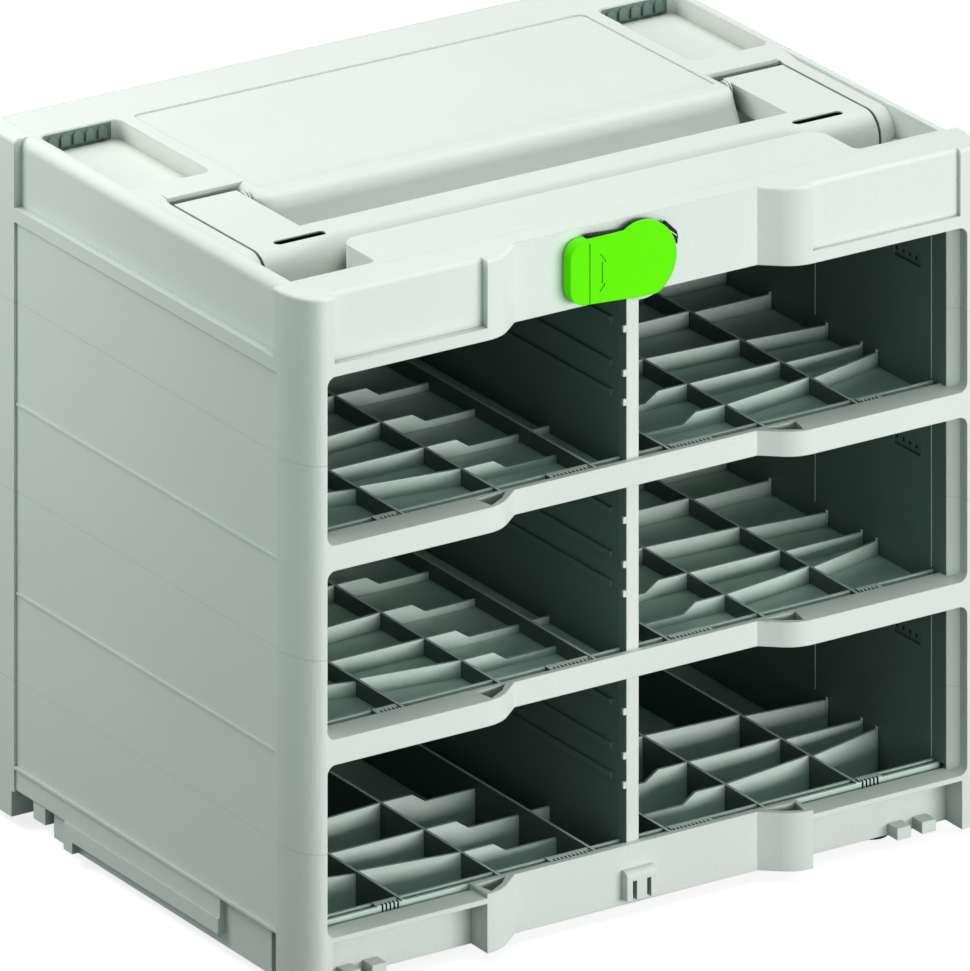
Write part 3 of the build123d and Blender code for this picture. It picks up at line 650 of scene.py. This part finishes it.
@dataclass
class LatchKnob(Trim):
    """The green knob with its cut seam and turning mark, and the light edge of its dark ear."""

    solid: bpy.types.Object
    axis_z: float = 317.3
    front_y: float = -142.0
    cut_depth: float = 0.55
    seam: tuple[float, float, float] = (-31.4, -14.75, 13.9)
    seam_width: float = 0.5
    mark_x: float = -24.3
    mark_reach: tuple[float, float] = (-6.1, 3.8)
    mark_width: float = 0.8
    strokes: tuple[tuple[float, float, float, float], ...] = ((-22.2, 3.8, -25.5, 7.8),
                                                              (-22.6, -6.7, -25.7, -10.0))
    ear_edge: tuple[float, float, float, float] = (16.2, 10.3, 20.6, 7.0)
    ear_edge_width: float = 0.5
    ear_edge_depth: tuple[float, float] = (2.7, -2.3)

    def stroke(self, name: str, x0: float, z0: float, x1: float, z1: float, width: float,
               back: float, front: float) -> bpy.types.Object:
        """A straight bar between two points of the latch's face.

        Args:
            name: Name of the bar.
            x0: Start, along X.
            z0: Start, above the latch's axis.
            x1: End, along X.
            z1: End, above the latch's axis.
            width: Width of the bar.
            back: Its depth behind the face.
            front: How far it stands before the face.

        Returns:
            The bar.
        """
        length = math.hypot(x1 - x0, z1 - z0)
        middle = Vector(((x0 + x1) / 2, self.front_y + (back - front) / 2,
                         self.axis_z + (z0 + z1) / 2))
        half = Vector((length / 2, (back + front) / 2, width / 2))
        return Bench.bar(name, middle - half, middle + half, -math.atan2(z1 - z0, x1 - x0))

    def build(self) -> None:
        """Cut the seam and the mark into a copy of the solid knob."""
        knob = Bench.merged_copy(self.solid, "latch_knob_detailed")
        seam_x, seam_low, seam_high = self.seam
        depth = self.cut_depth
        cutters = [
            self.stroke("knob_seam_cut", seam_x, seam_low, seam_x, seam_high, self.seam_width,
                        depth, depth),
            self.stroke("knob_mark_cut", self.mark_x, self.mark_reach[0], self.mark_x,
                        self.mark_reach[1], self.mark_width, depth, depth)]
        cutters += [self.stroke("knob_stroke_cut", *ends, self.mark_width, depth, depth)
                    for ends in self.strokes]
        for cutter in cutters:
            cut = knob.modifiers.new("cut", "BOOLEAN")
            cut.operation = "DIFFERENCE"
            cut.solver = "EXACT"
            cut.object = cutter
            bpy.context.view_layer.objects.active = knob
            bpy.ops.object.modifier_apply(modifier=cut.name)
            bpy.data.objects.remove(cutter, do_unlink=True)
        Bench.smooth(knob, 30.0)
        self.fit(knob, Slot.LATCH, Body.LATCH)
        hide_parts("latch_knob")
        edge = self.stroke("latch_ear_edge", *self.ear_edge, self.ear_edge_width,
                           *self.ear_edge_depth)
        Bench.soften(edge, 0.12, lambda middle, along: abs(along.y) < 0.5)
        self.fit(edge, Slot.DECK, Body.LATCH)


@dataclass
class LatchBacking(Trim):
    """The dark plate behind the knob, drawn in behind the knob's round end; its near-black colour
    is partly painted shade.
    """

    solid: bpy.types.Object
    axis_z: float = 317.3
    rim_radius: float = 19.9
    reach: float = 0.15
    hidden_share: float = 0.915

    def build(self) -> None:
        """Pull the rim of the round end in by a scale about the latch's axis."""
        plate = Bench.merged_copy(self.solid, "latch_backing_plate")
        bpy.context.tool_settings.mesh_select_mode = (True, False, False)
        for corner in plate.data.vertices:
            x, z = corner.co.x / MM, corner.co.z / MM - self.axis_z
            corner.select = abs(math.hypot(x, z) - self.rim_radius) < self.reach
        bpy.ops.object.mode_set(mode="EDIT")
        bpy.ops.transform.resize(value=(self.hidden_share, 1.0, self.hidden_share),
                                 center_override=(0.0, 0.0, self.axis_z * MM))
        bpy.ops.object.mode_set(mode="OBJECT")
        Bench.smooth(plate, 30.0)
        self.fit(plate, Slot.DARK_AND_SHADE, Body.LATCH)
        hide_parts("latch_backing")


@dataclass
class TrayCombs(Trim):
    """Toothed strips on the back walls of the two rear trays, dark as painted shade."""

    wall_y: float = 113.5
    inner_x: float = 143.3
    outer_x: float = 182.7
    low_z: float = 327.7
    high_z: float = 336.2
    strip: float = 0.35
    tooth_count: int = 5
    tooth_pitch: float = 7.15
    tooth_width: float = 5.3
    tooth_low: float = 329.4
    tooth_high: float = 335.2
    tooth_proud: float = 1.3
    middle_x: float = 163.2

    def build(self) -> None:
        """Make one strip and one tooth, and copy them along and across."""
        first = self.middle_x - (self.tooth_count - 1) / 2 * self.tooth_pitch
        back = self.wall_y - self.strip
        # A thin dark sheet over the back wall: painted shade.
        strip = Bench.bar("tray_comb_back_right", (self.inner_x, back, self.low_z),
                          (self.outer_x, self.wall_y - 0.02, self.high_z))
        Bench.soften(strip, 0.2, lambda middle, along: abs(along.x) > 0.9
                     and middle.y < back + 0.01)
        tooth = Bench.bar("tray_tooth", (first - self.tooth_width / 2, back - self.tooth_proud,
                                         self.tooth_low),
                          (first + self.tooth_width / 2, back + 0.1, self.tooth_high))
        Bench.soften(tooth, 1.5, lambda middle, along: abs(along.y) > 0.9
                     and middle.z > self.tooth_high - 0.1, 1)
        row = [tooth] + [Bench.copy(tooth, "tray_tooth", (step * self.tooth_pitch, 0, 0))
                         for step in range(1, self.tooth_count)]
        teeth = Bench.weld(row, "tray_comb_right")
        across = Vector((-2 * self.middle_x, 0.0, 0.0))
        left = Bench.copy(teeth, "tray_comb_left", across)
        left_strip = Bench.copy(strip, "tray_comb_back_left", across)
        # Teeth and sheets take the dark liner finish as painted shade.
        for piece in (teeth, left, strip, left_strip):
            self.fit(piece, Slot.LINER_SHADE, Body.CASE)


@dataclass
class HingeKnuckles(Trim):
    """Split round knuckles between the platform and the arms of the handle, with a near-black core
    that shows in the slit as painted shade.
    """

    place_y: float = -3.5
    place_z: float = 331.0
    inner_x: float = 138.65
    outer_x: float = 141.1
    radius: float = 5.3
    core_radius: float = 4.5
    slit: float = 0.45

    def disc(self, name: str, x0: float, x1: float, radius: float) -> bpy.types.Object:
        """A round disc across the case with softened rims.

        Args:
            name: Name of the disc.
            x0: Its inner face.
            x1: Its outer face.
            radius: Its radius.

        Returns:
            The disc.
        """
        Bench.clear()
        bpy.ops.mesh.primitive_cylinder_add(
            vertices=48, radius=radius * MM, depth=(x1 - x0) * MM,
            location=((x0 + x1) / 2 * MM, self.place_y * MM, self.place_z * MM),
            rotation=(0.0, math.pi / 2, 0.0))
        disc = Bench.settle(name)
        Bench.soften(disc, 0.25, lambda middle, along: abs(along.x) < 0.1)
        Bench.smooth(disc)
        return disc

    def build(self) -> None:
        """Make the two rims and the core on the right, and copy them to the left."""
        middle = (self.inner_x + self.outer_x) / 2
        rims = Bench.weld([self.disc("rim", self.inner_x, middle - self.slit / 2, self.radius),
                           self.disc("rim", middle + self.slit / 2, self.outer_x, self.radius)],
                          "hinge_knuckle_right")
        # Near-black core inside the rims: painted shade in the slit.
        core = self.disc("hinge_knuckle_core_right", self.inner_x + 0.1, self.outer_x - 0.1,
                         self.core_radius)
        across = Vector((-2 * middle, 0.0, 0.0))
        for piece, slot in ((rims, Slot.DECK), (core, Slot.DARK_AND_SHADE)):
            twin = Bench.copy(piece, piece.name.replace("right", "left"), across)
            self.fit(piece, slot, Body.CASE)
            self.fit(twin, slot, Body.CASE)


@dataclass
class HandleSlotCups(Trim):
    """Dark cups in the two long slots of the handle: painted shade in the slots."""

    place_x: float = 150.0
    place_y: float = -69.0
    top_z: float = 334.9
    length: float = 28.9
    width: float = 5.4
    depth: float = 5.0
    wall: float = 0.35
    shell: float = 0.28
    corners: int = 32

    def build(self) -> None:
        """Pull a disc apart into a long slot, sink it, and hollow it."""
        Bench.clear()
        bpy.ops.mesh.primitive_circle_add(
            vertices=self.corners, radius=self.width / 2 * MM, fill_type="NGON",
            location=(self.place_x * MM, self.place_y * MM, self.top_z * MM),
            rotation=(0.0, 0.0, math.pi / self.corners))
        cup = Bench.settle("handle_slot_cup_right")
        half = (self.length - self.width) / 2
        for corner in cup.data.vertices:
            corner.co.x += math.copysign(half, corner.co.x / MM - self.place_x) * MM
        bpy.context.tool_settings.mesh_select_mode = (False, False, True)
        bpy.ops.object.mode_set(mode="EDIT")
        bpy.ops.mesh.select_all(action="SELECT")
        bpy.ops.mesh.inset(thickness=self.wall * MM)
        bpy.ops.mesh.extrude_region_move(
            TRANSFORM_OT_translate={"value": (0.0, 0.0, -self.depth * MM)})
        bpy.ops.object.mode_set(mode="OBJECT")
        wall = cup.modifiers.new("wall", "SOLIDIFY")
        wall.thickness = self.shell * MM
        wall.offset = 1.0 if cup.data.polygons[0].normal.z < 0 else -1.0
        bpy.ops.object.modifier_apply(modifier=wall.name)
        Bench.smooth(cup)
        twin = Bench.copy(cup, "handle_slot_cup_left", (-2 * self.place_x, 0, 0))
        # The cups take the near-black finish as painted shade.
        for piece in (cup, twin):
            self.fit(piece, Slot.DARK_AND_SHADE, Body.HANDLE)


@dataclass
class CellTrim(Trim):
    """Small mouldings inside the cells: light wall beads as painted highlight, catch plates with
    holes in painted shade, and guide tabs.
    """

    wall_x: float = 179.45
    row_tops: tuple[float, ...] = (34.7, 126.85, 219.0)
    clear_height: float = 79.0
    seam_places: tuple[float, ...] = (-24.0, -125.0)
    seam_width: float = 0.55
    seam_proud: float = 0.35
    catch_y: tuple[float, float] = (-114.7, -92.3)
    catch_rise: tuple[float, float] = (51.2, 57.8)
    catch_depth: float = 1.15
    catch_margin: float = 0.8
    catch_lift: float = 1.7
    hole_y: tuple[float, float] = (3.0, 4.4)
    hole_rise: tuple[float, float] = (2.5, 4.3)
    hole_count: int = 4
    hole_gap: float = 5.6
    tab_rises: tuple[float, ...] = (27.6, 41.7, 63.0)
    tab_y: tuple[float, float] = (-131.9, -130.4)
    tab_x: tuple[float, float] = (-5.5, -3.6)
    tab_height: float = 3.2

    def on_both_sides(self, piece: bpy.types.Object, middle: float, slot: Slot) -> None:
        """Dress a piece of the right side and its copy on the left.

        Args:
            piece: The piece on the right.
            middle: Middle of the piece along X.
            slot: Its finish.
        """
        twin = Bench.copy(piece, piece.name.replace("right", "left"), (-2 * middle, 0, 0))
        self.fit(piece, slot, Body.CASE)
        self.fit(twin, slot, Body.CASE)

    def seams(self, row: int, top: float) -> None:
        """Thin light upright beads on the wall liners: real edges, partly painted highlight.

        Args:
            row: Number of the row, from the bottom.
            top: Height of the row's floor.
        """
        lines = []
        for place in self.seam_places:
            # Light bead: a real edge, its light colour partly a painted highlight on the dark
            # liner.
            line = Bench.bar("wall_seam", (self.wall_x - self.seam_proud, place, top + 0.5),
                             (self.wall_x, place + self.seam_width, top + self.clear_height))
            Bench.soften(line, 0.1, lambda middle, along: abs(along.z) > 0.9
                         and middle.x < self.wall_x - 0.1, 1)
            lines.append(line)
        self.on_both_sides(Bench.weld(lines, f"wall_seams_{row}_right"),
                           self.wall_x - self.seam_proud / 2, Slot.DECK)

    def catches(self, row: int, top: float) -> None:
        """Plate with holes in each wall slot, a little above the slot's lower edge; the holes are
        dark bars of painted shade.

        Args:
            row: Number of the row, from the bottom.
            top: Height of the row's floor.
        """
        y0, y1 = self.catch_y
        low, high = (top + rise for rise in self.catch_rise)
        outer = self.wall_x + self.catch_depth
        plate = Bench.bar(f"wall_catch_{row}_right",
                          (outer - 0.5, y0 + self.catch_margin, low + self.catch_lift),
                          (outer, y1 - self.catch_margin, high))
        # Near-black bars standing for the holes: painted shade.
        hole = Bench.bar("catch_hole", (outer - 0.6, y0 + self.hole_y[0], low + self.hole_rise[0]),
                         (outer - 0.3, y0 + self.hole_y[1], low + self.hole_rise[1]))
        Bench.soften(hole, 0.3, lambda middle, along: abs(along.x) > 0.9)
        holes = [hole] + [Bench.copy(hole, "catch_hole", (0, step * self.hole_gap, 0))
                          for step in range(1, self.hole_count)]
        self.on_both_sides(plate, outer - 0.25, Slot.LINER_SHADE)
        self.on_both_sides(Bench.weld(holes, f"wall_catch_holes_{row}_right"), outer - 0.45,
                           Slot.DARK_AND_SHADE)

    def tabs(self, row: int, top: float) -> None:
        """Light ends of the guide ribs, beside the front posts.

        Args:
            row: Number of the row, from the bottom.
            top: Height of the row's floor.
        """
        tabs = []
        for rise in self.tab_rises:
            low, high = top + rise - self.tab_height / 2, top + rise + self.tab_height / 2
            tab = Bench.bar("guide_tab", (self.tab_x[0], self.tab_y[0], low),
                            (self.tab_x[1], self.tab_y[1], high))
            Bench.soften(tab, 0.4, lambda middle, along: abs(along.y) > 0.9
                         and middle.x < self.tab_x[0] + 0.1)
            tabs.append(tab)
        self.fit(Bench.weld(tabs, f"guide_tabs_{row}"), Slot.DECK, Body.CASE)

    def build(self) -> None:
        """Make the mouldings of every row."""
        for row, top in enumerate(self.row_tops, 1):
            self.seams(row, top)
            self.catches(row, top)
            self.tabs(row, top)


@dataclass(frozen=True)
class Lamp:
    """One soft panel light that points at the middle of the rack."""

    name: str
    place: tuple[float, float, float]
    width: float
    height: float
    watts: float
    colour: tuple[float, float, float] = (1.0, 0.955, 0.965)
    aim: tuple[float, float, float] = (0.0, 0.0, 0.18)

    def hang(self) -> None:
        """Add the lamp to the scene."""
        data = bpy.data.lights.new(self.name, "AREA")
        data.shape = "RECTANGLE"
        data.size = self.width
        data.size_y = self.height
        data.energy = self.watts
        data.color = self.colour
        lamp = bpy.data.objects.new(self.name, data)
        bpy.context.scene.collection.objects.link(lamp)
        lamp.location = self.place
        towards = Vector(self.aim) - Vector(self.place)
        lamp.rotation_euler = towards.to_track_quat("-Z", "Y").to_euler()


@dataclass
class Studio:
    """A small pale floor, soft panels and a faint greenish sky."""

    sky_colour: tuple[float, float, float, float] = (0.72, 1.0, 0.93, 1.0)
    sky_strength: float = 0.25
    floor_radius: float = 0.40
    floor_colour: float = 0.82
    floor_bounce: float = 0.12
    floor_glow: float = 0.78
    lamps: tuple[Lamp, ...] = (
        Lamp("front_low_panel", (0.9, -2.9, -0.5), 2.4, 1.2, 9.0),
        Lamp("front_panel", (0.9, -2.9, 0.52), 2.4, 0.6, 62.5),
        Lamp("top_panel", (0.15, 0.1, 2.3), 2.2, 2.2, 36.0),
        Lamp("left_panel", (-0.66, 0.45, 0.66), 0.45, 0.45, 3.2),
    )

    def white_share(self, nodes: bpy.types.Nodes, link: Callable) -> bpy.types.NodeSocket:
        """Mask of rays that see the plain white background.

        Args:
            nodes: Nodes of the tree that uses it.
            link: The tree's link function.

        Returns:
            The mask's output socket.
        """
        path = nodes.new("ShaderNodeLightPath")
        first = nodes.new("ShaderNodeMath")
        first.operation = "MAXIMUM"
        second = nodes.new("ShaderNodeMath")
        second.operation = "MAXIMUM"
        link(path.outputs["Is Camera Ray"], first.inputs[0])
        link(path.outputs["Is Glossy Ray"], first.inputs[1])
        link(first.outputs[0], second.inputs[0])
        link(path.outputs["Is Transmission Ray"], second.inputs[1])
        return second.outputs[0]

    def sky(self) -> None:
        """A faint sky all round, pure white to the camera."""
        sky = bpy.data.worlds.new("studio_sky")
        bpy.context.scene.world = sky
        sky.use_nodes = True
        nodes, link = sky.node_tree.nodes, sky.node_tree.links.new
        light = nodes["Background"]
        light.inputs["Color"].default_value = self.sky_colour
        light.inputs["Strength"].default_value = self.sky_strength
        white = nodes.new("ShaderNodeBackground")
        white.inputs["Color"].default_value = (1.0, 1.0, 1.0, 1.0)
        mix = nodes.new("ShaderNodeMixShader")
        link(self.white_share(nodes, link), mix.inputs[0])
        link(light.outputs[0], mix.inputs[1])
        link(white.outputs[0], mix.inputs[2])
        link(mix.outputs[0], nodes["World Output"].inputs["Surface"])

    def floor(self) -> None:
        """A round pale floor, white to the camera save for the rack's own shadow."""
        bpy.ops.mesh.primitive_circle_add(vertices=96, radius=self.floor_radius, fill_type="NGON",
                                          location=(0.0, 0.0, -0.0002))
        disc = bpy.context.object
        disc.name = "studio_floor"
        paint = bpy.data.materials.new("floor_paint")
        paint.use_nodes = True
        nodes, link = paint.node_tree.nodes, paint.node_tree.links.new
        shader = nodes["Principled BSDF"]
        shader.inputs["Roughness"].default_value = 0.9
        white = self.white_share(nodes, link)
        tone = nodes.new("ShaderNodeMix")
        tone.data_type = "RGBA"
        tone.inputs["A"].default_value = (self.floor_bounce,) * 3 + (1.0,)
        tone.inputs["B"].default_value = (self.floor_colour,) * 3 + (1.0,)
        glow = nodes.new("ShaderNodeEmission")
        strength = nodes.new("ShaderNodeMath")
        strength.operation = "MULTIPLY"
        strength.inputs[1].default_value = self.floor_glow
        both = nodes.new("ShaderNodeAddShader")
        link(white, tone.inputs["Factor"])
        link(tone.outputs["Result"], shader.inputs["Base Color"])
        link(white, strength.inputs[0])
        link(strength.outputs[0], glow.inputs["Strength"])
        link(shader.outputs[0], both.inputs[0])
        link(glow.outputs[0], both.inputs[1])
        link(both.outputs[0], nodes["Material Output"].inputs["Surface"])
        disc.data.materials.append(paint)

    def build(self) -> None:
        """Set up the sky, the floor and the lamps."""
        self.sky()
        self.floor()
        for lamp in self.lamps:
            lamp.hang()


@dataclass
class PhotoCamera:
    """A long lens whose picture keeps upright lines upright, as the photograph does."""

    turn: float = 33.019
    slope: float = -0.37407
    place: tuple[float, float, float] = (-4.495, -6.918, 3.2505)
    lens: float = 670.07

    def build(self) -> None:
        """Set the camera behind a fixed stand that leans its picture plane."""
        angle = math.radians(self.turn)
        ahead = Vector((math.sin(angle), math.cos(angle), self.slope)).normalized()
        right = Vector((math.cos(angle), -math.sin(angle), 0.0))
        leaning = Matrix.Identity(4)
        for column, axis in enumerate((right, Vector((0.0, 0.0, 1.0)), -ahead)):
            for row in range(3):
                leaning[row][column] = axis[row]
        for row in range(3):
            leaning[row][3] = self.place[row]
        stand = bpy.data.objects.new("camera_stand", None)
        data = bpy.data.cameras.new("photo_camera")
        camera = bpy.data.objects.new("photo_camera", data)
        for item in (stand, camera):
            bpy.context.scene.collection.objects.link(item)
        camera.parent = stand
        camera.matrix_parent_inverse = leaning
        data.sensor_fit = "HORIZONTAL"
        data.sensor_width = 36.0
        data.lens = self.lens
        data.clip_start = 1.0
        data.clip_end = 60.0
        bpy.context.scene.camera = camera


def main() -> None:
    """Build the looks in order."""
    logging.basicConfig(level=logging.INFO, format="%(name)s: %(message)s")
    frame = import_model()
    bpy.ops.object.select_all(action="DESELECT")
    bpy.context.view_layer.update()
    bpy.context.scene.view_settings.view_transform = "Standard"
    PhotoCamera().build()
    Studio().build()
    finishes = Finishes()
    finishes.build()
    Carcass(frame["nodes"]).dress(finishes)
    LatchKnob(finishes, frame["nodes"]["latch_knob"]).build()
    LatchBacking(finishes, frame["nodes"]["latch_backing"]).build()
    for sub_assembly in (TrayCombs, HingeKnuckles, HandleSlotCups, CellTrim):
        sub_assembly(finishes).build()


if __name__ == "__main__":
    main()
